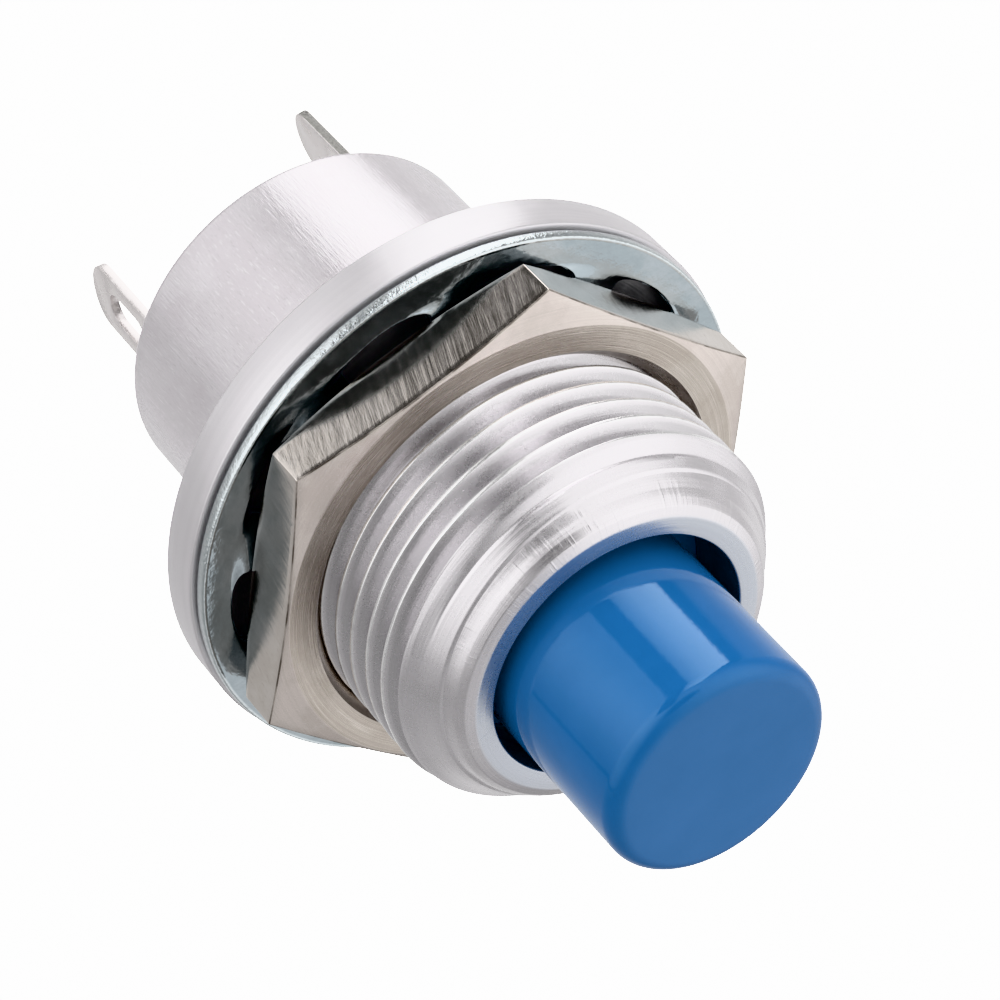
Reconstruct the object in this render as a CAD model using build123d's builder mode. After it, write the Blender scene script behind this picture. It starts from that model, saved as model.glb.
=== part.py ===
from build123d import *
import os
import math

os.makedirs("parts", exist_ok=True)

# Momentary push button switch, panel mounted, 15/32-32 bushing.
# Millimetres. Z runs out of the panel through the bushing and the button,
# z = 0 is the front face of the mounting flange, X joins the two solder lugs.

# ---- housing
thread_r = 5.953            # 15/32 in major diameter, plain cylinder over the crests
engaged_r = 5.70            # pitch cylinder, where the nut and washer stand at rest
engaged_top_z = 2.62
bevel_start_z = 6.05
bevel_mid = (5.19, 7.00)      # the bevel is two cones, radius and height where they meet
nose_r = 4.72
nose_z = 7.60
face_r = 4.42                # outer edge of the flat front face
front_z = 7.72
button_hole_r = 3.864
lip_z = 5.60
guide_bore_r = 4.70
case_bore_r = 4.95
case_step_z = -1.00
base_seat_r = 5.10
base_seat_z = -6.90
rim_lip_r = 4.75
rim_lip_z = -8.44
case_r = 5.674
case_rear_z = -8.90
flange_r = 8.61
flange_t = 1.33

# ---- button
button_r = 3.366
button_front_z = 12.70
button_edge_r = 0.50
collar_r = 4.55
collar_top_z = 5.58
collar_bottom_z = 3.95
button_bore_r = 2.75
button_ceiling_z = 9.00
boss_r = 1.60
boss_end_z = 6.60
travel = 1.60               # full press of the button
bridge_travel = 1.00        # gap that the bridge closes before overtravel

# ---- stem, bridge, clip
stem_r = 0.95
stem_top_z = 8.80
shoulder_r = 1.50
shoulder_top_z = -2.10
shoulder_bottom_z = -2.60
pilot_r = 0.75
stem_end_z = -5.95
bridge_r = 3.60
bridge_hole_r = 0.80
bridge_t = 0.35
bridge_bottom_z = -5.40
clip_t = 0.20
clip_r = 1.25
clip_top_z = -5.42
groove_r = 0.50

# ---- springs
return_wire_r = 0.175
return_mean_r = 2.20
contact_wire_r = 0.11
contact_mean_r = 1.15

# ---- insulating parts
plate_r = 4.93
plate_top_z = -1.00
plate_bottom_z = -1.90
plate_hole_r = 1.03
liner_r = 4.93
liner_bore_r = 4.45
base_r = 5.07
base_top_z = -6.90
base_bottom_z = -8.42
recess_r = 1.50
recess_z = -7.90

# ---- contacts and lugs
rivet_x = 2.42
rivet_y = 0.36
contact_r = 0.90
contact_top_z = -6.42
rivet_shank_r = 0.50
rivet_hole_r = 0.52
rivet_tail_r = 0.80
rivet_tail_z = -8.98
lug_t = 0.30
lug_w = 2.16
lug_reach = 1.46            # rivet axis to the middle of the standing blade
lug_tip_z = -15.20
lug_tip_len = 0.88
lug_slot_w = 1.10
lug_slot_len = 2.20
lug_slot_left_z = -13.00
lug_slot_right_z = -12.05    # nearer the case than in the left lug
lug_turn_right = 10.5       # degrees that each lug is turned about its rivet
lug_turn_left = 18.5

# ---- nut and washer
nut_flats_r = 7.144         # 9/16 in across flats, halved
nut_back_z = 0.62
nut_front_z = 2.62
nut_bore_r = 6.00
nut_mouth_r = 6.26
nut_face_r = 7.08
nut_front_drop = 0.27
nut_back_drop = 0.42
nut_turn = 29.4             # direction of the first flat's normal
washer_r = 8.50
washer_ring_r = 7.62
washer_tip_r = 6.12
washer_low_z = 0.13
washer_t = 0.36
tooth_count = 10
tooth_root_w = 1.90
tooth_tip_w = 1.35
tooth_twist = 7.5
tooth_turn = -0.5


def circles(body, radius, z):
    """Circular edges of one radius at one height."""
    return body.edges().filter_by(GeomType.CIRCLE).filter_by(
        lambda e: abs(e.radius - radius) < 0.01 and abs(e.arc_center.Z - z) < 0.01
    )


# ---------------------------------------------------------------- housing
with BuildPart() as housing:
    with BuildSketch(Plane.XZ) as housing_section:
        with BuildLine():
            Polyline(
                (button_hole_r, front_z),
                (face_r, front_z),
                (nose_r, nose_z),
                bevel_mid,
                (thread_r, bevel_start_z),
                (thread_r, engaged_top_z),
                (engaged_r, engaged_top_z),
                (engaged_r, 0),
                (flange_r, 0),
                (flange_r, -flange_t),
                (case_r, -flange_t),
                (case_r, case_rear_z),
                (rim_lip_r, case_rear_z),
                (rim_lip_r, rim_lip_z),
                (base_seat_r, rim_lip_z),
                (base_seat_r, base_seat_z),
                (case_bore_r, base_seat_z),
                (case_bore_r, case_step_z),
                (guide_bore_r, case_step_z),
                (guide_bore_r, lip_z),
                (button_hole_r, lip_z),
                close=True,
            )
        make_face()
    revolve(axis=Axis.Z)
    fillet(circles(housing.part, nose_r, nose_z), 0.20)
    fillet(circles(housing.part, case_r, case_rear_z), 0.26)
    fillet(circles(housing.part, flange_r, 0), 0.10)
    fillet(circles(housing.part, flange_r, -flange_t), 0.12)
    chamfer(circles(housing.part, button_hole_r, front_z), 0.08)
    chamfer(circles(housing.part, rim_lip_r, case_rear_z), 0.15)
housing.part.label = "housing"
export_step(housing.part, "parts/housing.step")

# ---------------------------------------------------------------- button
with BuildPart() as button_cap:
    with BuildSketch(Plane.XZ):
        with BuildLine():
            Polyline(
                (0, button_front_z),
                (button_r, button_front_z),
                (button_r, collar_top_z),
                (collar_r, collar_top_z),
                (collar_r, collar_bottom_z),
                (button_bore_r, collar_bottom_z),
                (button_bore_r, button_ceiling_z),
                (boss_r, button_ceiling_z),
                (boss_r, boss_end_z),
                (stem_r + 0.01, boss_end_z),
                (stem_r + 0.01, stem_top_z + 0.05),
                (0, stem_top_z + 0.05),
                close=True,
            )
        make_face()
    revolve(axis=Axis.Z)
    fillet(circles(button_cap.part, button_r, button_front_z), button_edge_r)
    fillet(circles(button_cap.part, collar_r, collar_bottom_z), 0.15)
button_cap.part.label = "button_cap"
export_step(button_cap.part, "parts/button_cap.step")

# ---------------------------------------------------------------- stem
with BuildPart() as plunger_stem:
    with BuildSketch(Plane.XZ):
        with BuildLine():
            Polyline(
                (0, stem_top_z),
                (stem_r - 0.15, stem_top_z),
                (stem_r, stem_top_z - 0.15),
                (stem_r, shoulder_top_z),
                (shoulder_r, shoulder_top_z),
                (shoulder_r, shoulder_bottom_z),
                (pilot_r, shoulder_bottom_z),
                (pilot_r, clip_top_z),
                (groove_r, clip_top_z),
                (groove_r, clip_top_z - clip_t - 0.02),
                (pilot_r, clip_top_z - clip_t - 0.02),
                (pilot_r, stem_end_z + 0.12),
                (pilot_r - 0.12, stem_end_z),
                (0, stem_end_z),
                close=True,
            )
        make_face()
    revolve(axis=Axis.Z)
plunger_stem.part.label = "plunger_stem"
export_step(plunger_stem.part, "parts/plunger_stem.step")


# ---------------------------------------------------------------- springs
def coil(z_low, z_high, mean_r, wire_r, turns):
    """Round-wire helix between two heights, wire surface touching neither end."""
    pitch = (z_high - z_low - 2 * wire_r) / turns
    with BuildPart() as body:
        with BuildLine() as path:
            Helix(pitch=pitch, height=pitch * turns, radius=mean_r, center=(0, 0, z_low + wire_r))
        with BuildSketch(path.line ^ 0):
            Circle(wire_r)
        sweep(is_frenet=True)
    return body.part


return_spring = coil(plate_top_z + 0.02, button_ceiling_z - 0.02, return_mean_r, return_wire_r, 9)
return_spring.label = "return_spring"
export_step(return_spring, "parts/return_spring.step")

contact_spring = coil(bridge_bottom_z + bridge_t + 0.02, shoulder_bottom_z - 0.02, contact_mean_r, contact_wire_r, 4.5)
contact_spring.label = "contact_spring"
export_step(contact_spring, "parts/contact_spring.step")

# ---------------------------------------------------------------- guide plate
with BuildPart() as guide_plate:
    with BuildSketch(Plane.XY.offset(plate_bottom_z)):
        Circle(plate_r)
    extrude(amount=plate_top_z - plate_bottom_z)
    with BuildSketch(Plane.XY.offset(plate_top_z)):
        Circle(1.85)
    extrude(amount=0.60)
    with Locations((0, 0, plate_top_z + 0.60)):
        Hole(plate_hole_r)
    chamfer(circles(guide_plate.part, 1.85, plate_top_z + 0.60), 0.2)
guide_plate.part.label = "guide_plate"
export_step(guide_plate.part, "parts/guide_plate.step")

# ---------------------------------------------------------------- liner
with BuildPart() as liner_sleeve:
    with BuildSketch(Plane.XY.offset(base_top_z)):
        Circle(liner_r)
        Circle(liner_bore_r, mode=Mode.SUBTRACT)
    extrude(amount=plate_bottom_z - base_top_z)
liner_sleeve.part.label = "liner_sleeve"
export_step(liner_sleeve.part, "parts/liner_sleeve.step")

# ---------------------------------------------------------------- bridge and clip
with BuildPart() as contact_bridge:
    with BuildSketch(Plane.XY.offset(bridge_bottom_z)):
        Circle(bridge_r)
        Circle(bridge_hole_r, mode=Mode.SUBTRACT)
    extrude(amount=bridge_t)
    fillet(circles(contact_bridge.part, bridge_r, bridge_bottom_z), 0.10)
    fillet(circles(contact_bridge.part, bridge_r, bridge_bottom_z + bridge_t), 0.10)
contact_bridge.part.label = "contact_bridge"
export_step(contact_bridge.part, "parts/contact_bridge.step")

with BuildPart() as stem_clip:
    with BuildSketch(Plane.XY.offset(clip_top_z - clip_t - 0.01)):
        Circle(clip_r)
        Circle(groove_r + 0.01, mode=Mode.SUBTRACT)
        with Locations((0, -clip_r)):
            Rectangle(0.70, 2 * clip_r - 0.2, mode=Mode.SUBTRACT)
    extrude(amount=clip_t)
stem_clip.part.label = "stem_clip"
export_step(stem_clip.part, "parts/stem_clip.step")

# ---------------------------------------------------------------- base
with BuildPart() as terminal_base:
    with BuildSketch(Plane.XY.offset(base_bottom_z)):
        Circle(base_r)
    extrude(amount=base_top_z - base_bottom_z)
    with BuildSketch(Plane.XY.offset(recess_z)):
        Circle(recess_r)
    extrude(amount=base_top_z - recess_z, mode=Mode.SUBTRACT)
    with Locations((rivet_x, rivet_y, base_top_z), (-rivet_x, -rivet_y, base_top_z)):
        Hole(rivet_hole_r)
terminal_base.part.label = "terminal_base"
export_step(terminal_base.part, "parts/terminal_base.step")


# ---------------------------------------------------------------- rivets
def rivet(x, y):
    with BuildPart() as body:
        with BuildSketch(Plane(origin=(x, y, 0), x_dir=(1, 0, 0), z_dir=(0, -1, 0))):
            with BuildLine():
                Polyline(
                    (0, contact_top_z),
                    (contact_r - 0.18, contact_top_z),
                    (contact_r, contact_top_z - 0.12),
                    (contact_r, base_top_z),
                    (rivet_shank_r, base_top_z),
                    (rivet_shank_r, base_bottom_z - lug_t),
                    (rivet_tail_r, base_bottom_z - lug_t),
                    (rivet_tail_r - 0.15, rivet_tail_z),
                    (0, rivet_tail_z),
                    close=True,
                )
            make_face()
        revolve(axis=Axis((x, y, 0), (0, 0, 1)))
    return body.part


contact_rivet_right = rivet(rivet_x, rivet_y)
contact_rivet_right.label = "contact_rivet_right"
export_step(contact_rivet_right, "parts/contact_rivet_right.step")

contact_rivet_left = rivet(-rivet_x, -rivet_y)
contact_rivet_left.label = "contact_rivet_left"
export_step(contact_rivet_left, "parts/contact_rivet_left.step")


# ---------------------------------------------------------------- solder lugs
def lug(x, y, direction, slot_z):
    """L-shaped lug: ring foot under the rivet, blade standing along -Z.

    direction is the angle, in degrees from X, from the rivet to the blade.
    """
    c, s = math.cos(math.radians(direction)), math.sin(math.radians(direction))
    foot = Plane(origin=(x, y, base_bottom_z - lug_t), x_dir=(c, s, 0), z_dir=(0, 0, 1))
    inner = lug_reach - lug_t / 2
    blade = Plane(origin=(x + inner * c, y + inner * s, 0), x_dir=(-s, c, 0), z_dir=(c, s, 0))
    with BuildPart() as body:
        with BuildSketch(foot):
            Circle(lug_w / 2)
            with Locations(((lug_reach + lug_t / 2) / 2, 0)):
                Rectangle(lug_reach + lug_t / 2, lug_w)
            Circle(rivet_hole_r, mode=Mode.SUBTRACT)
        extrude(amount=lug_t)
        top = base_bottom_z - lug_t / 2
        bend = lug_tip_z + lug_tip_len
        with BuildSketch(blade):
            with Locations((0, (top + bend) / 2)):
                Rectangle(lug_w, top - bend)
            with Locations((0, bend)):
                Ellipse(lug_w / 2, lug_tip_len)
            with Locations((0, slot_z)):
                SlotOverall(lug_slot_len, lug_slot_w, rotation=90, mode=Mode.SUBTRACT)
        extrude(amount=lug_t)
        corner = body.edges().filter_by(
            lambda e: abs(e.center().Z - base_bottom_z) < 0.001
            and abs((e.center().X - x) * c + (e.center().Y - y) * s - lug_reach - lug_t / 2) < 0.001
        )
        fillet(corner, 0.26)
    return body.part


terminal_right = lug(rivet_x, rivet_y, -lug_turn_right, lug_slot_right_z)
terminal_right.label = "terminal_right"
export_step(terminal_right, "parts/terminal_right.step")

terminal_left = lug(-rivet_x, -rivet_y, 180 - lug_turn_left, lug_slot_left_z)
terminal_left.label = "terminal_left"
export_step(terminal_left, "parts/terminal_left.step")

# ---------------------------------------------------------------- nut
nut_corner_r = nut_flats_r / math.cos(math.pi / 6)
front_slope = nut_front_drop / (nut_corner_r - nut_face_r)
back_slope = nut_back_drop / (nut_corner_r - nut_face_r)
far_r = nut_corner_r + 0.5
with BuildPart() as hex_nut:
    with BuildSketch(Plane.XY.offset(nut_back_z)):
        RegularPolygon(nut_flats_r, 6, major_radius=False, rotation=nut_turn + 30)
    extrude(amount=nut_front_z - nut_back_z)
    with BuildSketch(Plane.XZ):
        with BuildLine():
            Polyline(
                (nut_bore_r, nut_back_z + 0.26),
                (nut_mouth_r, nut_back_z),
                (nut_face_r, nut_back_z),
                (far_r, nut_back_z + back_slope * (far_r - nut_face_r)),
                (far_r, nut_front_z - front_slope * (far_r - nut_face_r)),
                (nut_face_r, nut_front_z),
                (nut_mouth_r, nut_front_z),
                (nut_bore_r, nut_front_z - 0.26),
                close=True,
            )
        make_face()
    revolve(axis=Axis.Z, mode=Mode.INTERSECT)
hex_nut.part.label = "hex_nut"
export_step(hex_nut.part, "parts/hex_nut.step")

# ---------------------------------------------------------------- lock washer
washer_mid_z = washer_low_z + washer_t / 2
with BuildPart() as lock_washer:
    with BuildSketch(Plane.XY.offset(washer_low_z)):
        Circle(washer_r)
        Circle(washer_ring_r, mode=Mode.SUBTRACT)
    extrude(amount=washer_t)
    fillet(circles(lock_washer.part, washer_r, washer_low_z + washer_t), 0.10)
    fillet(circles(lock_washer.part, washer_r, washer_low_z), 0.06)
    for k in range(tooth_count):
        a = math.radians(tooth_turn + 360 / tooth_count * k)
        t = math.radians(tooth_twist)
        radial = Vector(math.cos(a), math.sin(a), 0)
        side = Vector(-math.sin(a) * math.cos(t), math.cos(a) * math.cos(t), math.sin(t))
        normal = radial.cross(side)
        centre = Vector(0, 0, washer_mid_z) - normal * (washer_t / 2)
        with BuildSketch(Plane(origin=centre, x_dir=radial, z_dir=normal)):
            with BuildLine():
                Polyline(
                    (washer_ring_r + 0.25, -tooth_root_w / 2),
                    (washer_ring_r - 0.1, -tooth_root_w / 2),
                    (washer_tip_r, -tooth_tip_w / 2),
                    (washer_tip_r, tooth_tip_w / 2),
                    (washer_ring_r - 0.1, tooth_root_w / 2),
                    (washer_ring_r + 0.25, tooth_root_w / 2),
                    close=True,
                )
            make_face()
        extrude(amount=washer_t)
lock_washer.part.label = "lock_washer"
export_step(lock_washer.part, "parts/lock_washer.step")
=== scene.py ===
import math

import bmesh
import bpy
import numpy as np
from mathutils import Matrix, Vector


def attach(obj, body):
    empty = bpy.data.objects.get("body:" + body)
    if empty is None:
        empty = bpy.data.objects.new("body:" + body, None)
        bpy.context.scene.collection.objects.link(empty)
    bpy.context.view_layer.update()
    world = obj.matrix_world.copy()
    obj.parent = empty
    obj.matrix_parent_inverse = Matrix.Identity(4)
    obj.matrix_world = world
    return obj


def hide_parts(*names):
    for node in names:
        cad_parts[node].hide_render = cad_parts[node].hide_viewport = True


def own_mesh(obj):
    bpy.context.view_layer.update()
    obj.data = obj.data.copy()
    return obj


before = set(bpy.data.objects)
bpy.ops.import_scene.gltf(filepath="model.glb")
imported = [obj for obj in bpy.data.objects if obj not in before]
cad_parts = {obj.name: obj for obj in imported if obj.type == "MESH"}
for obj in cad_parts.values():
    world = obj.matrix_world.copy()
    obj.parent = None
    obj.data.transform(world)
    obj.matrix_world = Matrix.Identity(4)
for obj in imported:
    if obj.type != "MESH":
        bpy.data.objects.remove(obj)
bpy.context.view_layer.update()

# ---------------------------------------------------------------- sizes, mm
PITCH = 0.79375            # 32 turns to the inch
THREAD_R, ROOT_R = 5.953, 5.480
CREST_Z, CREST_DEG = 5.38, 108.5   # one point on the crest line
# outside of the nose: heights and radii where the bevel cuts the thread off
NOSE_Z = [5.60, 6.05, 6.27, 6.50, 6.75, 7.00, 7.20, 7.42, 7.60, 7.72]
NOSE_R = [THREAD_R, 5.930, 5.766, 5.553, 5.383, 5.195, 5.030, 4.870, 4.700, 4.550]
FACE_R, FRONT_Z, HOLE_R = 4.42, 7.72, 3.864
FLANGE_R, FLANGE_T = 8.605, 1.33
CASE_R, REAR_Z = 5.674, -8.90
NUT_A, NUT_Z0, NUT_Z1, NUT_DEG = 7.144, 0.62, 2.62, 29.4
NUT_MOUTH, NUT_FACE = 6.26, 7.08
WASHER_R, WASHER_IN, WASHER_TIP = 8.50, 7.62, 6.12
WASHER_Z, WASHER_T, TEETH, TOOTH_DEG = 0.31, 0.36, 10, -0.5
BUTTON_R, BUTTON_Z, BUTTON_EDGE = 3.366, 12.70, 0.50
LUG_T, LUG_W = 0.30, 2.16


# ---------------------------------------------------------------- mesh tools
class Shell:
    """Collects grids of points in mm and turns them into one mesh in metres."""

    def __init__(self):
        self.v, self.f, self.m, self.n = [], [], [], 0

    def points(self, p):
        p = np.asarray(p, float).reshape(-1, 3)
        self.v.append(p)
        self.n += len(p)
        return self.n - len(p)

    def grid(self, p, mat=0, close_rows=False, close_cols=False):
        p = np.asarray(p, float)
        r, c = p.shape[:2]
        base = self.points(p)
        ri = np.arange(r if close_rows else r - 1)
        ci = np.arange(c if close_cols else c - 1)
        a, b = np.meshgrid(ri, ci, indexing="ij")
        a2, b2 = (a + 1) % r, (b + 1) % c
        q = np.stack([a * c + b, a2 * c + b, a2 * c + b2, a * c + b2], -1).reshape(-1, 4) + base
        self.f.append(q)
        self.m.append(np.full(len(q), mat) if np.isscalar(mat) else np.repeat(np.asarray(mat)[: len(ri)], len(ci)))

    def faces(self, p, faces, mat=0):
        base = self.points(p)
        for f in faces:
            self.f.append(np.array([[base + i for i in f]]))
            self.m.append(np.array([mat]))

    def build(self, name, mats, sharp=32.0, weld=2e-4):
        verts = np.concatenate(self.v) * 0.001
        me = bpy.data.meshes.new(name)
        polys, idx = [], []
        for q, m in zip(self.f, self.m):
            polys += q.tolist()
            idx += m.tolist()
        me.from_pydata(verts.tolist(), [], polys)
        for m in mats:
            me.materials.append(m)
        me.polygons.foreach_set("material_index", np.array(idx, np.int32))
        bm = bmesh.new()
        bm.from_mesh(me)
        bmesh.ops.remove_doubles(bm, verts=bm.verts, dist=weld * 0.001)
        bmesh.ops.dissolve_degenerate(bm, edges=bm.edges, dist=1e-9)
        bmesh.ops.recalc_face_normals(bm, faces=bm.faces)
        bm.to_mesh(me)
        bm.free()
        me.shade_smooth()
        me.set_sharp_from_angle(angle=math.radians(sharp))
        me.update()
        ob = bpy.data.objects.new(name, me)
        bpy.context.scene.collection.objects.link(ob)
        return ob


def fillet(points, radii, seg=4):
    """A polyline with its corners rounded. radii has one number per point, 0 keeps the corner."""
    out = []
    n = len(points)
    for i, (p, r) in enumerate(zip(points, radii)):
        p = np.array(p, float)
        if r <= 0 or i in (0, n - 1):
            out.append(p)
            continue
        a, b = np.array(points[i - 1], float) - p, np.array(points[i + 1], float) - p
        a, b = a / np.linalg.norm(a), b / np.linalg.norm(b)
        half = math.acos(max(-1, min(1, float(a @ b)))) / 2
        t = r / math.tan(half)
        c = p + (a + b) / np.linalg.norm(a + b) * (r / math.sin(half))
        s, e = p + a * t - c, p + b * t - c
        turn = math.pi - 2 * half
        sign = 1 if s[0] * e[1] - s[1] * e[0] > 0 else -1
        for k in range(seg + 1):
            w = sign * turn * k / seg
            out.append(c + np.array([s[0] * math.cos(w) - s[1] * math.sin(w), s[0] * math.sin(w) + s[1] * math.cos(w)]))
    return np.array(out)


def turned(profile, angles, centre=(0.0, 0.0)):
    """Grid of a profile of (radius, height) swept through the angles, in radians."""
    profile = np.asarray(profile, float)
    t = np.asarray(angles, float)
    return np.stack(
        [
            centre[0] + profile[:, :1] * np.cos(t)[None, :],
            centre[1] + profile[:, :1] * np.sin(t)[None, :],
            profile[:, 1:2] + 0 * t[None, :],
        ],
        -1,
    )


def ripple(a, b, seed, octaves=4):
    """Smooth deterministic noise of two arrays, about -1 to 1, periodic in a over 2 pi."""
    rng = np.random.default_rng(seed)
    out = np.zeros(np.broadcast(a, b).shape)
    total = 0.0
    for o in range(octaves):
        for _ in range(4):
            ka = rng.integers(1 + 3 * o * o, 5 + 9 * (o + 1) ** 2)
            kb = rng.uniform(0.5, 2.0) * (o + 1) * 2
            out += np.sin(ka * a + kb * b + rng.uniform(0, 2 * math.pi)) / (o + 1)
            total += 1 / (o + 1)
    return out / total * 2


def soft_ramp(x, w):
    """0 below, x above, with a round of half width w at the corner."""
    return np.where(x < -w, 0.0, np.where(x > w, x, (x + w) ** 2 / (4 * w)))


def crest_height(phase):
    """Height of the 60 degree thread's section, 1 on the crest's land and 0 at the root. phase 0 is the crest's middle."""
    t = np.abs(phase - np.round(phase)) * 2
    return soft_ramp(1 - soft_ramp(t - 0.120, 0.035) / 0.75, 0.07)


def helix_rows(z0, z1):
    half = np.array([0, 0.085, 0.104, 0.122, 0.140, 0.158, 0.30, 0.50, 0.70, 0.81, 0.87, 0.93]) / 2
    u = np.concatenate([half, [0.5], 1 - half[:0:-1]])
    s0 = CREST_Z - PITCH * CREST_DEG / 360
    k0, k1 = math.floor((z0 - PITCH - s0) / PITCH) - 1, math.ceil((z1 - s0) / PITCH) + 1
    return s0, np.array([s0 + (k + x) * PITCH for k in range(k0, k1 + 1) for x in u])


def helical(z0, z1, angles, radius):
    """Grid that follows the thread's helix between two heights. radius(z, phase, angle) gives each point's radius."""
    s0, rows = helix_rows(z0, z1)
    t = np.asarray(angles, float)
    lift = PITCH * t / (2 * math.pi)
    z = np.clip(rows[:, None] + lift[None, :], z0, z1)
    phase = (z - lift[None, :] - s0) / PITCH
    r = radius(z, phase, t[None, :] + 0 * z)
    return np.stack([r * np.cos(t)[None, :], r * np.sin(t)[None, :], z], -1)


def ride(ob, body, slot, *nodes):
    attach(ob, body)
    if nodes:
        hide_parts(*nodes)
    return ob


# ---------------------------------------------------------------- material tools
class Graph:
    def __init__(self, name):
        self.mat = bpy.data.materials.new(name)
        self.mat.use_nodes = True
        self.nt = self.mat.node_tree
        self.nt.nodes.clear()
        self.x = 0

    def node(self, kind, **props):
        n = self.nt.nodes.new(kind)
        self.x += 40
        n.location = (self.x, -(self.x % 400))
        for k, v in props.items():
            setattr(n, k, v)
        return n

    def put(self, socket, value):
        if isinstance(value, bpy.types.NodeSocket):
            self.nt.links.new(value, socket)
        elif value is not None:
            socket.default_value = value

    def math(self, op, a, b=None, c=None, clamp=False):
        n = self.node("ShaderNodeMath", operation=op, use_clamp=clamp)
        for s, v in zip(n.inputs, (a, b, c)):
            self.put(s, v)
        return n.outputs[0]

    def vec(self, op, a, b=None, scale=None):
        n = self.node("ShaderNodeVectorMath", operation=op)
        self.put(n.inputs[0], a)
        self.put(n.inputs[1], b)
        if scale is not None:
            self.put(n.inputs["Scale"], scale)
        return n.outputs["Value"] if op in ("LENGTH", "DOT_PRODUCT") else n.outputs[0]

    def join(self, x, y, z):
        n = self.node("ShaderNodeCombineXYZ")
        for s, v in zip(n.inputs, (x, y, z)):
            self.put(s, v)
        return n.outputs[0]

    def split(self, v):
        n = self.node("ShaderNodeSeparateXYZ")
        self.put(n.inputs[0], v)
        return n.outputs[0], n.outputs[1], n.outputs[2]

    def mm(self):
        """Object coordinates in mm."""
        n = self.node("ShaderNodeTexCoord")
        return self.vec("SCALE", n.outputs["Object"], scale=1000.0)

    def normal(self):
        n = self.node("ShaderNodeTexCoord")
        return n.outputs["Normal"]

    def noise(self, v, scale=1.0, detail=3.0, rough=0.55, warp=0.0, kind="FBM"):
        n = self.node("ShaderNodeTexNoise")
        n.noise_dimensions = "3D"
        self.put(n.inputs["Vector"], v)
        self.put(n.inputs["Scale"], scale)
        self.put(n.inputs["Detail"], detail)
        self.put(n.inputs["Roughness"], rough)
        self.put(n.inputs["Distortion"], warp)
        return n.outputs[0]

    def cells(self, v, scale=1.0, feature="F1"):
        n = self.node("ShaderNodeTexVoronoi", feature=feature)
        self.put(n.inputs["Vector"], v)
        self.put(n.inputs["Scale"], scale)
        return n.outputs[0]

    def fit(self, x, a, b, c=0.0, d=1.0):
        n = self.node("ShaderNodeMapRange")
        n.clamp = True
        for s, v in zip(n.inputs, (x, a, b, c, d)):
            self.put(s, v)
        return n.outputs[0]

    def soft(self, x, a, b, c=0.0, d=1.0):
        n = self.node("ShaderNodeMapRange", interpolation_type="SMOOTHSTEP")
        for s, v in zip(n.inputs, (x, a, b, c, d)):
            self.put(s, v)
        return n.outputs[0]

    def mix(self, f, a, b, blend="MIX"):
        n = self.node("ShaderNodeMix", data_type="RGBA", blend_type=blend)
        self.put(n.inputs["Factor"], f)
        self.put(n.inputs[6], a if isinstance(a, bpy.types.NodeSocket) else (*a, 1.0))
        self.put(n.inputs[7], b if isinstance(b, bpy.types.NodeSocket) else (*b, 1.0))
        return n.outputs[2]

    def bump(self, h, distance, strength=1.0, under=None):
        n = self.node("ShaderNodeBump")
        self.put(n.inputs["Height"], h)
        n.inputs["Distance"].default_value = distance
        n.inputs["Strength"].default_value = strength
        if under is not None:
            self.put(n.inputs["Normal"], under)
        return n.outputs[0]

    def finish(self, colour, rough, normal=None, metallic=1.0, **fixed):
        p = self.node("ShaderNodeBsdfPrincipled")
        self.put(p.inputs["Base Color"], colour)
        self.put(p.inputs["Roughness"], rough)
        p.inputs["Metallic"].default_value = metallic
        if normal is not None:
            self.put(p.inputs["Normal"], normal)
        for k, v in fixed.items():
            p.inputs[k.replace("_", " ")].default_value = v
        o = self.node("ShaderNodeOutputMaterial")
        self.nt.links.new(p.outputs[0], o.inputs[0])
        return self.mat


def round_lines(g, mm, along=34.0, around=1.3):
    """Noise drawn into fine rings about Z: by height on a cylinder, by radius on a face."""
    x, y, z = g.split(mm)
    r = g.vec("LENGTH", g.join(x, y, 0.0))
    k = g.math("DIVIDE", around, g.math("MAXIMUM", r, 0.001))
    return g.join(g.math("MULTIPLY", x, k), g.math("MULTIPLY", y, k), g.math("MULTIPLY", g.math("SUBTRACT", z, r), along))


def blotches(g, mm, low=0.4, high=0.6, scale=0.55):
    return g.soft(g.noise(mm, scale, 4.0, 0.6), low, high)


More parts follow.
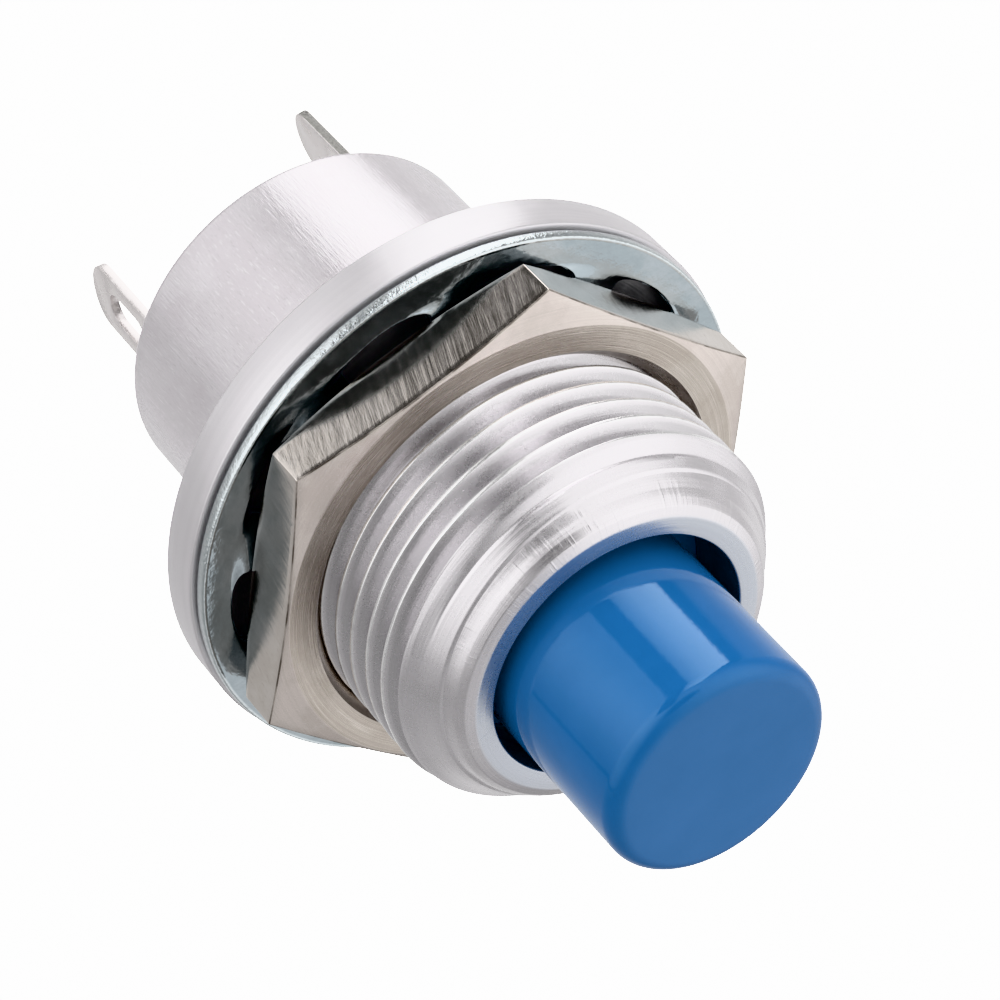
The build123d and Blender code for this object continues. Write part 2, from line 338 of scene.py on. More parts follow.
# ---- satin anodised aluminium, turned: thread, bevel, nose, flange
def aluminium_turned(name, rough_mid, metallic):
    g = Graph("anodised_aluminium_" + name)
    mm = g.mm()
    x, y, z = g.split(mm)
    flat = g.join(x, y, 0.0)
    r = g.vec("LENGTH", flat)
    lines = g.noise(round_lines(g, mm, 26.0, 1.6), 1.0, 4.0, 0.6)
    coarse = g.noise(round_lines(g, mm, 6.0, 0.9), 1.0, 2.0, 0.5)
    grain = g.noise(mm, 11.0, 3.0, 0.55)
    cloud = blotches(g, mm)
    specks = g.soft(grain, 0.62, 0.72)
    col = g.mix(cloud, (0.775, 0.750, 0.772), (0.815, 0.788, 0.812))
    col = g.mix(g.fit(lines, 0.3, 0.7, 0.0, 0.35), col, (0.69, 0.667, 0.688))
    col = g.mix(g.math("MULTIPLY", specks, 0.25), col, (0.56, 0.545, 0.565))
    rough = g.math("ADD", g.fit(cloud, 0.0, 1.0, rough_mid - 0.02, rough_mid + 0.04), g.fit(grain, 0.3, 0.7, -0.03, 0.04))
    if name == "rim":
        col = g.mix(g.fit(coarse, 0.3, 0.7, 0.45, 0.75), col, (0.66, 0.64, 0.66))
    n = g.bump(lines, 0.000004, 0.6)
    n = g.bump(coarse, 0.000012, 0.4, n)
    n = g.bump(grain, 0.0000022, 0.4, n)
    if name == "turned":
        # painted shade: the valleys of the thread are darkened in colour, standing in for the shade that falls in them
        valley_shade = g.math("MULTIPLY", g.soft(r, 5.90, 5.78), g.soft(z, 6.10, 5.95))
        col = g.mix(g.math("MULTIPLY", valley_shade, 0.85), col, (0.58, 0.566, 0.58))
        # painted highlight: the crests are lightened in colour and made a little smoother, standing in for the glint of
        # light along them
        crest = g.math("MULTIPLY", g.soft(r, 5.890, 5.925), g.soft(g.noise(mm, 2.2, 3.0, 0.6), 0.30, 0.55, 0.45, 1.0))
        col = g.mix(crest, col, (0.97, 0.96, 0.965))
        rough = g.math("SUBTRACT", rough, g.math("MULTIPLY", crest, 0.05))
        # chatter marks: short radial ticks on the round of the nose
        k = g.math("DIVIDE", 40.0, g.math("MAXIMUM", r, 0.001))
        ticks = g.noise(g.join(g.math("MULTIPLY", x, k), g.math("MULTIPLY", y, k), g.math("MULTIPLY", r, 1.1)), 1.0, 2.0, 0.5)
        where = g.math("MULTIPLY", g.soft(z, 6.95, 7.15), g.soft(r, 4.40, 4.50))
        where = g.math("MULTIPLY", where, g.soft(g.noise(mm, 0.9, 2.0, 0.5), 0.42, 0.56))
        n = g.bump(g.math("MULTIPLY", g.soft(ticks, 0.46, 0.76), where), 0.000008, 0.7, n)
        col = g.mix(g.math("MULTIPLY", g.soft(ticks, 0.54, 0.74), g.math("MULTIPLY", where, 0.22)), col, (0.93, 0.92, 0.93))
        # the faced front, a little bluer and duller
        face = g.math("MULTIPLY", g.soft(z, 7.690, 7.712), g.soft(r, 4.50, 4.36))
        col = g.mix(g.math("MULTIPLY", face, 0.75), col, (0.56, 0.60, 0.66))
    return g.finish(col, rough, n, metallic=metallic)


# ---- anodised aluminium, drawn case: many short fine axial flecks
def aluminium_case():
    g = Graph("anodised_aluminium_case")
    mm = g.mm()
    x, y, z = g.split(mm)

    def streak(across, along, detail=3.0):
        return g.noise(g.join(g.math("MULTIPLY", x, across), g.math("MULTIPLY", y, across), g.math("MULTIPLY", z, along)), 1.0, detail, 0.62)

    brush, fine, long = streak(13.0, 1.3, 4.0), streak(24.0, 3.6), streak(5.0, 0.22, 2.0)
    nick = g.soft(fine, 0.58, 0.72)
    bright = g.soft(streak(19.0, 2.6), 0.55, 0.70)
    grain = g.noise(mm, 14.0, 3.0, 0.6)
    cloud = blotches(g, mm, scale=0.4)
    col = g.mix(cloud, (0.785, 0.745, 0.775), (0.835, 0.800, 0.830))
    col = g.mix(g.fit(long, 0.35, 0.65, 0.0, 0.30), col, (0.73, 0.69, 0.72))
    col = g.mix(g.math("MULTIPLY", bright, 0.60), col, (0.96, 0.940, 0.955))
    col = g.mix(g.math("MULTIPLY", nick, 0.45), col, (0.55, 0.52, 0.545))
    rough = g.math("ADD", g.fit(cloud, 0.0, 1.0, 0.17, 0.22), g.fit(brush, 0.3, 0.7, 0.05, -0.04))
    n = g.bump(brush, 0.000014, 0.65)
    n = g.bump(fine, 0.000008, 0.6, n)
    n = g.bump(grain, 0.000004, 0.4, n)
    return g.finish(col, rough, n, metallic=0.60)


# ---- the flange's front face under the washer: dull, and painted dark grey as a painted shade, standing in for the shade under the washer and between its teeth
def aluminium_seat_painted_shade():
    g = Graph("anodised_aluminium_seat_painted_shade")
    mm = g.mm()
    x, y, z = g.split(mm)
    lines = g.noise(round_lines(g, mm, 16.0, 1.4), 1.0, 4.0, 0.6)
    cloud = blotches(g, mm)
    r = g.vec("LENGTH", g.join(x, y, 0.0))
    outer = g.soft(r, 7.75, 8.25)
    # painted shade: dark grey where the washer lies over the face, the face's own pale colour beyond r 8.25
    col = g.mix(cloud, (0.21, 0.21, 0.22), (0.31, 0.31, 0.32))
    col = g.mix(g.fit(lines, 0.3, 0.7, 0.0, 0.4), col, (0.15, 0.15, 0.16))
    col = g.mix(outer, col, (0.74, 0.72, 0.74))
    rough = g.math("ADD", g.fit(cloud, 0.0, 1.0, 0.34, 0.44), g.fit(lines, 0.3, 0.7, -0.04, 0.05))
    return g.finish(col, rough, g.bump(lines, 0.000008, 0.6), metallic=0.6)


# ---- the bore behind the button and the inside of the housing: painted near black as a painted shade, standing in for the shade deep inside them
def aluminium_bore_painted_shade():
    g = Graph("anodised_aluminium_bore_painted_shade")
    mm = g.mm()
    lines = g.noise(round_lines(g, mm, 12.0, 1.4), 1.0, 3.0, 0.6)
    cloud = blotches(g, mm, scale=0.9)
    col = g.mix(cloud, (0.045, 0.048, 0.055), (0.085, 0.090, 0.100))
    rough = g.fit(lines, 0.3, 0.7, 0.36, 0.48)
    return g.finish(col, rough, g.bump(lines, 0.000008, 0.6), metallic=0.3)


# ---- nickel plate: the nut
def nickel(part):
    g = Graph("nickel_plate_" + part)
    mm = g.mm()
    x, y, z = g.split(mm)
    cloud = blotches(g, mm, scale=0.7)
    grain = g.noise(mm, 20.0, 3.0, 0.6)

    def streak(across, along, detail=4.0, rough=0.68):
        """Streaks along Z, slanted a little round the nut."""
        k = g.math("MULTIPLY", z, 0.36 / 7.3)
        sx = g.math("ADD", x, g.math("MULTIPLY", y, k))
        sy = g.math("SUBTRACT", y, g.math("MULTIPLY", x, k))
        return g.noise(g.join(g.math("MULTIPLY", sx, across), g.math("MULTIPLY", sy, across), g.math("MULTIPLY", z, along)), 1.0, detail, rough)

    if part == "flats":
        brush, fine, wide = streak(6.0, 0.14, 3.0, 0.6), streak(17.0, 0.45, 3.0), streak(2.2, 0.10, 2.0)
        col = g.mix(cloud, (0.71, 0.660, 0.615), (0.77, 0.720, 0.680))
        col = g.mix(g.math("MULTIPLY", g.soft(fine, 0.56, 0.70), 0.40), col, (0.42, 0.385, 0.355))
        col = g.mix(g.math("MULTIPLY", g.soft(brush, 0.60, 0.72), 0.35), col, (0.92, 0.87, 0.83))
        rough = g.math("ADD", g.fit(cloud, 0.0, 1.0, 0.13, 0.17), g.fit(brush, 0.3, 0.7, -0.01, 0.04))
        n = g.bump(wide, 0.000011, 0.6)
        n = g.bump(brush, 0.000005, 0.6, n)
        n = g.bump(fine, 0.0000024, 0.6, n)
        n = g.bump(grain, 0.000001, 0.4, n)
    elif part == "ring":
        lines = g.noise(round_lines(g, mm, 26.0, 1.2), 1.0, 4.0, 0.7)
        sparse = g.soft(g.noise(round_lines(g, mm, 15.0, 2.2), 1.0, 2.0, 0.5), 0.58, 0.70)
        col = g.mix(cloud, (0.56, 0.505, 0.455), (0.62, 0.565, 0.515))
        col = g.mix(g.fit(lines, 0.35, 0.7, 0.0, 0.5), col, (0.40, 0.36, 0.315))
        col = g.mix(g.math("MULTIPLY", sparse, 0.5), col, (0.84, 0.78, 0.72))
        rough = g.math("ADD", 0.27, g.fit(lines, 0.3, 0.7, -0.04, 0.06))
        n = g.bump(lines, 0.000014, 0.7)
        n = g.bump(grain, 0.000004, 0.5, n)
    else:
        lines = g.noise(round_lines(g, mm, 18.0, 1.5), 1.0, 3.0, 0.6)
        col = g.mix(cloud, (0.625, 0.565, 0.530), (0.685, 0.625, 0.590))
        col = g.mix(g.fit(lines, 0.4, 0.75, 0.0, 0.30), col, (0.50, 0.450, 0.415))
        rough = g.math("ADD", 0.22, g.fit(grain, 0.3, 0.7, -0.04, 0.06))
        n = g.bump(lines, 0.000005, 0.55)
        n = g.bump(grain, 0.000006, 0.55, n)
    return g.finish(col, rough, n)


# ---- bright zinc: the lock washer
def zinc():
    g = Graph("bright_zinc")
    mm = g.mm()
    cloud = blotches(g, mm, 0.38, 0.62, 0.8)
    grain = g.noise(mm, 11.0, 4.0, 0.65)
    dents = g.noise(mm, 3.2, 3.0, 0.55)
    waves = g.noise(mm, 1.3, 2.0, 0.5)
    col = g.mix(cloud, (0.405, 0.460, 0.490), (0.465, 0.515, 0.545))
    col = g.mix(g.math("MULTIPLY", g.soft(grain, 0.58, 0.72), 0.28), col, (0.30, 0.345, 0.36))
    rough = g.math("ADD", g.fit(cloud, 0.0, 1.0, 0.06, 0.11), g.fit(grain, 0.3, 0.7, -0.02, 0.04))
    x, y, z = g.split(mm)
    # painted highlight: the washer's rolled outer edge is lightened in colour, standing in for the light that it
    # catches; it also gets a glittery bump
    rim = g.soft(g.vec("LENGTH", g.join(x, y, 0.0)), 8.36, 8.44)
    glitter = g.noise(mm, 7.0, 3.0, 0.7)
    col = g.mix(g.math("MULTIPLY", rim, 0.6), col, (0.86, 0.90, 0.91))
    n = g.bump(waves, 0.000060, 0.35)
    n = g.bump(dents, 0.000028, 0.45, n)
    n = g.bump(grain, 0.000006, 0.55, n)
    n = g.bump(g.math("MULTIPLY", glitter, rim), 0.000035, 0.7, n)
    return g.finish(col, rough, n)


# ---- tin plate: the solder lugs, with bare sheared edges
def tin(edge=False):
    g = Graph("tin_plate_edge" if edge else "tin_plate")
    mm = g.mm()
    cloud = blotches(g, mm, scale=0.9)
    grain = g.noise(mm, 12.0, 4.0, 0.65)
    if edge:
        x, y, z = g.split(mm)
        shear = g.noise(mm, 20.0, 4.0, 0.75)
        band = g.soft(g.math("ADD", z, g.math("MULTIPLY", g.noise(mm, 2.0), 0.8)), -14.6, -13.9)
        dark = g.mix(g.soft(shear, 0.38, 0.62), (0.10, 0.10, 0.095), (0.42, 0.41, 0.39))
        col = g.mix(g.math("MULTIPLY", band, 0.35), dark, (0.62, 0.61, 0.59))
        rough = g.fit(shear, 0.3, 0.7, 0.34, 0.58)
        n = g.bump(shear, 0.000045, 0.9)
    else:
        x, y, z = g.split(mm)
        roll = g.noise(g.join(g.math("MULTIPLY", x, 12.0), g.math("MULTIPLY", y, 12.0), g.math("MULTIPLY", z, 0.8)), 1.0, 4.0, 0.6)
        col = g.mix(cloud, (0.86, 0.815, 0.810), (0.92, 0.880, 0.875))
        col = g.mix(g.math("MULTIPLY", g.soft(grain, 0.58, 0.72), 0.30), col, (0.58, 0.55, 0.54))
        rough = g.math("ADD", g.fit(cloud, 0.0, 1.0, 0.24, 0.34), g.fit(roll, 0.3, 0.7, -0.03, 0.04))
        n = g.bump(roll, 0.000008, 0.55)
        n = g.bump(grain, 0.000009, 0.6, n)
    return g.finish(col, rough, n, metallic=0.95 if edge else 0.72)


# ---- moulded blue plastic
def blue():
    g = Graph("glossy_blue_plastic")
    mm = g.mm()
    cloud = g.noise(mm, 0.6, 3.0, 0.5)
    orange_peel = g.noise(mm, 4.5, 2.0, 0.45)
    dust = g.soft(g.noise(mm, 26.0, 2.0, 0.5), 0.70, 0.80)
    col = g.mix(g.fit(cloud, 0.3, 0.7), (0.032, 0.150, 0.400), (0.038, 0.163, 0.430))
    col = g.mix(g.math("MULTIPLY", dust, 0.20), col, (0.07, 0.19, 0.42))
    rough = g.math("ADD", g.fit(cloud, 0.3, 0.7, 0.055, 0.080), g.math("MULTIPLY", dust, 0.10))
    n = g.bump(orange_peel, 0.000007, 0.30)
    return g.finish(col, rough, n, metallic=0.0, IOR=1.62, Specular_Tint=(0.50, 0.78, 1.0, 1.0))


# ---- the rest: one maker for plain metals and plastics
def simple(name, a, b, rough, metallic, scale=8.0, depth=0.000005, lines=False, **fixed):
    g = Graph(name)
    mm = g.mm()
    cloud = blotches(g, mm, scale=0.8)
    grain = g.noise(round_lines(g, mm, 24.0, 1.5), 1.0, 4.0, 0.65) if lines else g.noise(mm, scale, 4.0, 0.65)
    speck = g.soft(g.noise(mm, scale * 1.7, 3.0, 0.6), 0.60, 0.74)
    col = g.mix(cloud, a, b)
    col = g.mix(g.math("MULTIPLY", speck, 0.3), col, tuple(0.55 * c for c in a))
    r = g.math("ADD", g.fit(cloud, 0.0, 1.0, rough - 0.03, rough + 0.04), g.fit(grain, 0.3, 0.7, -0.03, 0.04))
    return g.finish(col, r, g.bump(grain, depth, 0.6), metallic=metallic, **fixed)


ALU, RIM = aluminium_turned("turned", 0.25, 0.84), aluminium_turned("rim", 0.34, 0.52)
CASE, SEAT_PAINTED_SHADE, BORE_PAINTED_SHADE = aluminium_case(), aluminium_seat_painted_shade(), aluminium_bore_painted_shade()
FLATS, RING, SKIN = nickel("flats"), nickel("ring"), nickel("skin")
ZINC, TIN, TIN_EDGE, BLUE = zinc(), tin(), tin(True), blue()
BRASS = simple("turned_brass", (0.70, 0.53, 0.24), (0.78, 0.61, 0.30), 0.24, 1.0, lines=True)
STEEL = simple("spring_wire_steel", (0.50, 0.50, 0.52), (0.60, 0.60, 0.61), 0.26, 1.0, 14.0)
CLIP = simple("blued_clip_steel", (0.16, 0.17, 0.20), (0.24, 0.24, 0.27), 0.30, 1.0, 12.0)
SILVER = simple("silver_plate", (0.84, 0.82, 0.77), (0.90, 0.88, 0.84), 0.20, 1.0, 10.0, lines=True)
NICK = simple("nickel_plate_worn_edge", (0.20, 0.175, 0.155), (0.55, 0.50, 0.46), 0.32, 1.0, 5.0, 0.00001)
NYLON = simple("natural_nylon", (0.74, 0.71, 0.62), (0.80, 0.77, 0.69), 0.42, 0.0, 5.0)
FIBRE = simple("vulcanised_fibre", (0.34, 0.24, 0.15), (0.43, 0.31, 0.20), 0.62, 0.0, 9.0, 0.00002)
PHENOLIC = simple("dark_phenolic", (0.020, 0.017, 0.015), (0.034, 0.028, 0.024), 0.38, 0.0, 12.0, 0.00002)

CIRCLE = np.linspace(0, 2 * math.pi, 361)


# ---------------------------------------------------------------- housing
def make_housing():
    s = Shell()
    angles = np.linspace(0, 2 * math.pi, 289)

    def outline(z):
        low = np.where(z < 0.30, 5.45, np.minimum(5.45 + (z - 0.30), THREAD_R))
        return np.minimum(low, np.interp(z, NOSE_Z, NOSE_R))

    def radius(z, phase, t):
        wave = np.clip(ripple(t, z / PITCH, 3), -1, 1)
        h = crest_height(phase)
        r = ROOT_R + (THREAD_R - 0.010 - ROOT_R) * h + 0.009 * wave * h**3 + 0.003 * wave * (1 - h)
        cone = outline(z) - 0.002
        # the last turn leaves a low ridge on the bevel, steep on its front side
        after = phase - np.floor(phase)
        saw = np.where(after < 0.05, after / 0.05, (1 - after) / 0.95)
        strength = np.clip((z - 6.50) / 0.25, 0, 1) * np.clip((7.40 - z) / 0.20, 0, 1)
        cone = cone - (0.042 + 0.008 * wave) * saw * strength
        # a torn edge where the cut-off crest runs out
        torn = np.exp(-(((t - math.radians(38)) / 0.14) ** 2)) * np.clip(1 - np.abs(z - 6.34) / 0.16, 0, 1)
        cone = cone + 0.030 * torn * np.clip(ripple(t * 3, z * 5, 21), -1, 1)
        return np.minimum(r, cone)

    top = 7.42
    s.grid(helical(0.0, top, angles, radius), 0)
    run = [
        (np.interp(top, NOSE_Z, NOSE_R) - 0.002, top), (4.700, 7.60), (FACE_R, FRONT_Z), (HOLE_R, FRONT_Z),
        (HOLE_R, 5.60), (4.70, 5.60), (4.70, -1.00), (4.95, -1.00), (4.95, -6.90), (5.10, -6.90), (5.10, -8.44),
        (4.75, -8.44), (4.75, REAR_Z), (CASE_R, REAR_Z), (CASE_R, -FLANGE_T), (FLANGE_R, -FLANGE_T), (FLANGE_R, 0.0), (5.45, 0.0),
    ]
    rad = [0, 0.16, 0.16, 0.05, 0.05, 0.02, 0, 0, 0, 0, 0, 0, 0.08, 0.27, 0.08, 0.07, 0.07, 0]
    p = fillet(run, rad, 5)
    mats = []
    for a, b in zip(p[:-1], p[1:]):
        mr, mz = (a[0] + b[0]) / 2, (a[1] + b[1]) / 2
        on_case = abs(mr - CASE_R) < 0.30 and mz < -FLANGE_T - 0.1
        on_rim = mr > FLANGE_R - 0.06
        in_bore = mr < 4.72 and 5.55 < mz < 7.64 and abs(b[0] - a[0]) < 1e-6
        mats.append(1 if on_case else 2 if on_rim else 3 if abs(mz) < 1e-6 else 4 if in_bore or (mr < 5.12 and -8.50 < mz < 5.65) else 0)
    # the flange's front face is one broad ring
    s.grid(turned(p, angles), np.array(mats))
    return s.build("bushing_housing", [ALU, CASE, RIM, SEAT_PAINTED_SHADE, BORE_PAINTED_SHADE], sharp=38)


housing = ride(make_housing(), "root", "anodised_aluminium", "housing")


# ---------------------------------------------------------------- nut
def make_nut():
    s = Shell()
    corner, pts = 0.035, []
    for k in range(6):
        mid = math.radians(NUT_DEG + 60 * k + 30)
        cx, cy = (NUT_A - corner) / math.cos(math.radians(30)) * math.cos(mid), (NUT_A - corner) / math.cos(math.radians(30)) * math.sin(mid)
        start = mid - math.radians(30)
        for j in range(6):
            w = start + math.radians(60) * j / 5
            pts.append((cx + corner * math.cos(w), cy + corner * math.sin(w)))
        nxt = mid + math.radians(60)
        ex, ey = (NUT_A - corner) / math.cos(math.radians(30)) * math.cos(nxt), (NUT_A - corner) / math.cos(math.radians(30)) * math.sin(nxt)
        w = start + math.radians(60)
        a, b = np.array([cx + corner * math.cos(w), cy + corner * math.sin(w)]), np.array([ex + corner * math.cos(w), ey + corner * math.sin(w)])
        for j in range(1, 50):
            pts.append(tuple(a + (b - a) * j / 50))
    pts = np.array(pts)
    ang = np.unwrap(np.arctan2(pts[:, 1], pts[:, 0]))
    rad = np.hypot(pts[:, 0], pts[:, 1])
    ang, rad = np.append(ang, ang[0] + 2 * math.pi), np.append(rad, rad[0])
    drop = (rad - NUT_FACE) * 0.232
    back = (rad - 7.00) * 0.34

    def row(r, z):
        r, z = r + 0 * ang, z + 0 * ang
        return np.stack([r * np.cos(ang), r * np.sin(ang), z], -1)

    def burr(seed, size):
        return size * np.clip(ripple(ang, 0 * ang, seed, 5), -1, 1)

    ring = [row(r, NUT_Z1) for r in np.linspace(NUT_MOUTH, NUT_FACE - 0.02, 8)]
    s.grid(np.array(ring), 1)
    edge = burr(11, 0.012)
    chamfer = [row(NUT_FACE - 0.02, NUT_Z1)]
    for w in (0.0, 0.05, 0.3, 0.7):
        chamfer.append(row(NUT_FACE + (rad - NUT_FACE - 0.035) * w, NUT_Z1 - drop * w - 0.003))
    chamfer += [row(rad - 0.035, NUT_Z1 - drop - 0.004 + 0 * edge), row(rad - 0.010, NUT_Z1 - drop - 0.014), row(rad, NUT_Z1 - drop - 0.040 + edge)]
    s.grid(np.array(chamfer), np.array([2] * (len(chamfer) - 3) + [3, 3]))
    side = [row(rad, NUT_Z1 - drop - 0.040 + edge)]
    for w in np.linspace(0.1, 0.9, 6):
        side.append(row(rad, (NUT_Z1 - drop - 0.04) * (1 - w) + (NUT_Z0 + back + 0.04) * w))
    side += [row(rad, NUT_Z0 + back + 0.040), row(rad - 0.012, NUT_Z0 + back + 0.012), row(rad - 0.040, NUT_Z0 + back)]
    s.grid(np.array(side), 0)
    rear = [row(rad - 0.040, NUT_Z0 + back), row(7.00, NUT_Z0), row(NUT_MOUTH, NUT_Z0)]
    s.grid(np.array(rear), 2)

    def radius(z, phase, t):
        r = np.maximum(5.560, ROOT_R + (THREAD_R - ROOT_R) * crest_height(phase) + 0.050)
        return np.maximum(r, np.maximum(NUT_MOUTH - (NUT_Z1 - z) * 0.9, NUT_MOUTH - (z - NUT_Z0) * 0.9))

    s.grid(helical(NUT_Z0, NUT_Z1, ang, radius), 1)
    return s.build("panel_nut", [FLATS, RING, SKIN, NICK], sharp=28)


nut = ride(make_nut(), "nut", "nickel_plate", "hex_nut")


# ---------------------------------------------------------------- lock washer
def make_washer():
    s = Shell()
    half = math.pi / TEETH
    root_w, tip_w, gap_r = 1.90, 1.35, 0.34

    def gap(r):
        """Half width of the gap between two teeth, as an angle, at radius r."""
        d = WASHER_IN - r
        straight = half - np.interp(r, [WASHER_TIP, WASHER_IN - gap_r], [tip_w / 2 / WASHER_TIP, root_w / 2 / (WASHER_IN - gap_r)])
        at = half - root_w / 2 / (WASHER_IN - gap_r)
        arc = at * np.sqrt(np.clip(1 - (1 - np.clip(d / gap_r, 0, 1)) ** 2, 0, 1))
        return np.where(d < gap_r, arc, straight)

    tip_round = 0.10
    rr = np.concatenate(
        [
            WASHER_R - 0.085 * (1 - np.cos(np.linspace(0, math.pi / 2, 12))),
            np.linspace(WASHER_R - 0.22, WASHER_IN + 0.16, 8),
            WASHER_IN + np.array([0.12, 0.085, 0.055, 0.03, 0.012]),
            WASHER_IN - gap_r * (1 - np.cos(np.linspace(0, math.pi / 2, 12))),
            np.linspace(WASHER_IN - gap_r - 0.08, WASHER_TIP + 0.12, 12),
            WASHER_TIP + np.array([0.08, 0.05, 0.025, 0.008, 0.0]),
        ]
    )
    e = np.array([0, 0.006, 0.016, 0.032, 0.055, 0.09, 0.14, 0.2])
    v = np.concatenate([-1 + e, np.linspace(-0.7, 0.7, 15), (1 - e)[::-1]])
    # the gap's outline, to measure how near the edge each point is
    line_r = np.concatenate([WASHER_IN - gap_r * (1 - np.cos(np.linspace(0, math.pi / 2, 60))), np.linspace(WASHER_IN - gap_r, WASHER_TIP, 80)])
    line_a = gap(line_r)
    edge = np.concatenate(
        [
            np.stack([line_r * np.cos(sg * half + k * line_a), line_r * np.sin(sg * half + k * line_a)], -1)
            for sg in (-1, 1)
            for k in (-1, 1)
        ]
    )
    tip_t = np.linspace(-tip_w / 2 / WASHER_TIP, tip_w / 2 / WASHER_TIP, 60)
    tip = np.stack([WASHER_TIP * np.cos(tip_t), WASHER_TIP * np.sin(tip_t)], -1)
    edge = np.concatenate([edge, tip])
    a = np.where(rr[:, None] > WASHER_IN, v[None, :] * half, v[None, :] * (half - gap(rr))[:, None])
    x, y = rr[:, None] * np.cos(a), rr[:, None] * np.sin(a)
    d = np.sqrt(((np.stack([x, y], -1)[:, :, None, :] - edge[None, None]) ** 2).sum(-1)).min(-1)
    inner = 1 - np.clip(d / 0.055, 0, 1)
    outer = 1 - np.clip((WASHER_R - rr[:, None]) / 0.085, 0, 1) + 0 * a
    h = WASHER_T / 2 * np.sqrt(np.clip(1 - inner**2.2, 0, 1)) * np.clip(1 - outer**3, 0, 1) ** (1 / 3)
    grown = np.clip((WASHER_IN + 0.05 - rr) / 0.45, 0, 1)[:, None]
    turn = math.radians(8.3) * grown * grown * (3 - 2 * grown)
    for k in range(TEETH):
        mid = math.radians(TOOTH_DEG) + k * 2 * half
        own = 1 + 0.06 * math.sin(k * 2.3 + 0.4)
        w = y
        tw = turn * own
        for side in (1, -1):
            yy = w * np.cos(tw) - side * h * np.sin(tw)
            zz = w * np.sin(tw) + side * h * np.cos(tw)
            dish = -0.012 * np.clip((rr[:, None] - WASHER_IN) / (WASHER_R - WASHER_IN), 0, 1) ** 2
            zz = np.clip(WASHER_Z + zz + dish, 0.012, 0.608)
            px, py = x * math.cos(mid) - yy * math.sin(mid), x * math.sin(mid) + yy * math.cos(mid)
            s.grid(np.stack([px, py, zz], -1), 0)
    return s.build("toothed_washer", [ZINC], sharp=60, weld=4e-4)


washer = ride(make_washer(), "washer", "zinc_plate", "lock_washer")


# ---------------------------------------------------------------- button
def make_button():
    s = Shell()
    run = [
        (0.0, BUTTON_Z), (BUTTON_R, BUTTON_Z), (BUTTON_R, 5.58), (4.55, 5.58), (4.55, 3.95), (2.75, 3.95), (2.75, 9.00), (1.60, 9.00),
        (1.60, 6.60), (0.97, 6.60), (0.97, 8.82), (0.0, 8.82),
    ]
    rad = [0, BUTTON_EDGE, 0.06, 0.05, 0.05, 0.05, 0.10, 0.08, 0.05, 0.03, 0, 0]
    p = fillet(run, rad, 14)
    p[0] = (0.0, BUTTON_Z)
    # the flat front gets rows of its own, from the centre out to the edge's round
    front = np.linspace(0, BUTTON_R - BUTTON_EDGE, 12)[:-1]
    crown = np.stack([front, np.full(len(front), BUTTON_Z)], -1)
    p = np.concatenate([crown, p[1:]])
    # the cap leans on one side of its hole, by the play that it has there; the socket round the stem stays where it is
    skin = turned(p, np.linspace(0, 2 * math.pi, 241))
    lean = np.clip((p[:, 0] - 1.7) / 1.0, 0, 1)[:, None]
    lean = np.where(p[:, 1:2] > 11.5, 1.0, lean)
    skin[..., 0] -= 0.13 * lean
    skin[..., 1] -= 0.02 * lean
    s.grid(skin, 0)
    return s.build("blue_button", [BLUE], sharp=40)


button = ride(make_button(), "button", "blue_plastic", "button_cap")


